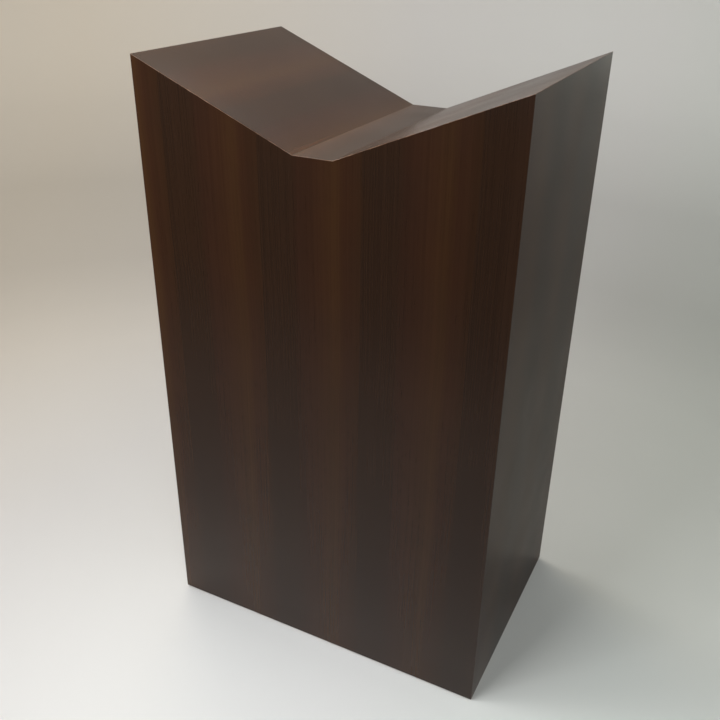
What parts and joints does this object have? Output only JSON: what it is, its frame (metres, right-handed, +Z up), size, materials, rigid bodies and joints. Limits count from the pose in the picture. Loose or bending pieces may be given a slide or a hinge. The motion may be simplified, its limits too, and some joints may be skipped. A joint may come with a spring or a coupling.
{
  "type": "atlas stand",
  "caption": "Closed upright box of dark veneered board whose top is a V-shaped cradle for a large open book, on four levelling feet.",
  "frame": {"origin": "on the floor, under the middle of the box", "axes": "+Z up, +X to the right as seen from the front, the front face towards -Y"},
  "size_m": [0.66, 0.452, 1.109],
  "materials": {
    "stained_veneer": "dark stain, satin lacquer",
    "balancing_veneer": "plain veneer, unfinished",
    "fibreboard": "raw medium-density fibreboard",
    "softwood": "planed spruce",
    "birch_plywood": "sanded birch plywood",
    "zinc_plated_steel": "bright zinc plate",
    "nylon": "moulded black nylon"
  },
  "bodies": {
    "root": {"back_back_veneer": "balancing_veneer", "back_core": "fibreboard", "back_leaf_1": "stained_veneer", "back_leaf_2": "stained_veneer", "back_leaf_3": "stained_veneer", "back_leaf_4": "stained_veneer", "back_leaf_5": "stained_veneer", "base_board": "fibreboard", "base_cleat_back": "softwood", "base_cleat_front": "softwood", "base_cleat_left": "softwood", "base_cleat_right": "softwood", "base_screws": "zinc_plated_steel", "corner_tongues": "birch_plywood", "cradle_rib": "birch_plywood", "front_back_veneer": "balancing_veneer", "front_core": "fibreboard", "front_leaf_1": "stained_veneer", "front_leaf_2": "stained_veneer", "front_leaf_3": "stained_veneer", "front_leaf_4": "stained_veneer", "front_leaf_5": "stained_veneer", "left_side_back_veneer": "balancing_veneer", "left_side_core": "fibreboard", "left_side_face_veneer": "stained_veneer", "left_wing_back_veneer": "balancing_veneer", "left_wing_core": "fibreboard", "left_wing_face_veneer": "stained_veneer", "rib_blocks": "softwood", "ridge_tongues": "birch_plywood", "right_side_back_veneer": "balancing_veneer", "right_side_core": "fibreboard", "right_side_face_veneer": "stained_veneer", "right_wing_back_veneer": "balancing_veneer", "right_wing_core": "fibreboard", "right_wing_face_veneer": "stained_veneer", "shelf_cleat_back": "softwood", "shelf_cleat_front": "softwood", "shelf_cleat_left": "softwood", "shelf_cleat_right": "softwood", "shelf_screws": "zinc_plated_steel", "stiffening_shelf": "fibreboard", "tee_nuts": "zinc_plated_steel", "trough_back_veneer": "balancing_veneer", "trough_core": "fibreboard", "trough_end_tongues": "birch_plywood", "trough_face_veneer": "stained_veneer", "trough_side_tongues": "birch_plywood", "wing_battens": "softwood", "wing_tongues": "birch_plywood"},
    "front_left_foot": {"foot_pad_front_left": "nylon", "foot_screw_front_left": "zinc_plated_steel"},
    "front_right_foot": {"foot_pad_front_right": "nylon", "foot_screw_front_right": "zinc_plated_steel"},
    "back_left_foot": {"foot_pad_back_left": "nylon", "foot_screw_back_left": "zinc_plated_steel"},
    "back_right_foot": {"foot_pad_back_right": "nylon", "foot_screw_back_right": "zinc_plated_steel"}
  },
  "joints": [
    {"name": "front_left_foot_travel", "type": "slide", "parent": "root", "child": "front_left_foot", "axis": [0, 0, -1], "range_m": [0, 0.012]},
    {"name": "front_right_foot_travel", "type": "slide", "parent": "root", "child": "front_right_foot", "axis": [0, 0, -1], "range_m": [0, 0.012]},
    {"name": "back_left_foot_travel", "type": "slide", "parent": "root", "child": "back_left_foot", "axis": [0, 0, -1], "range_m": [0, 0.012]},
    {"name": "back_right_foot_travel", "type": "slide", "parent": "root", "child": "back_right_foot", "axis": [0, 0, -1], "range_m": [0, 0.012]}
  ]
}
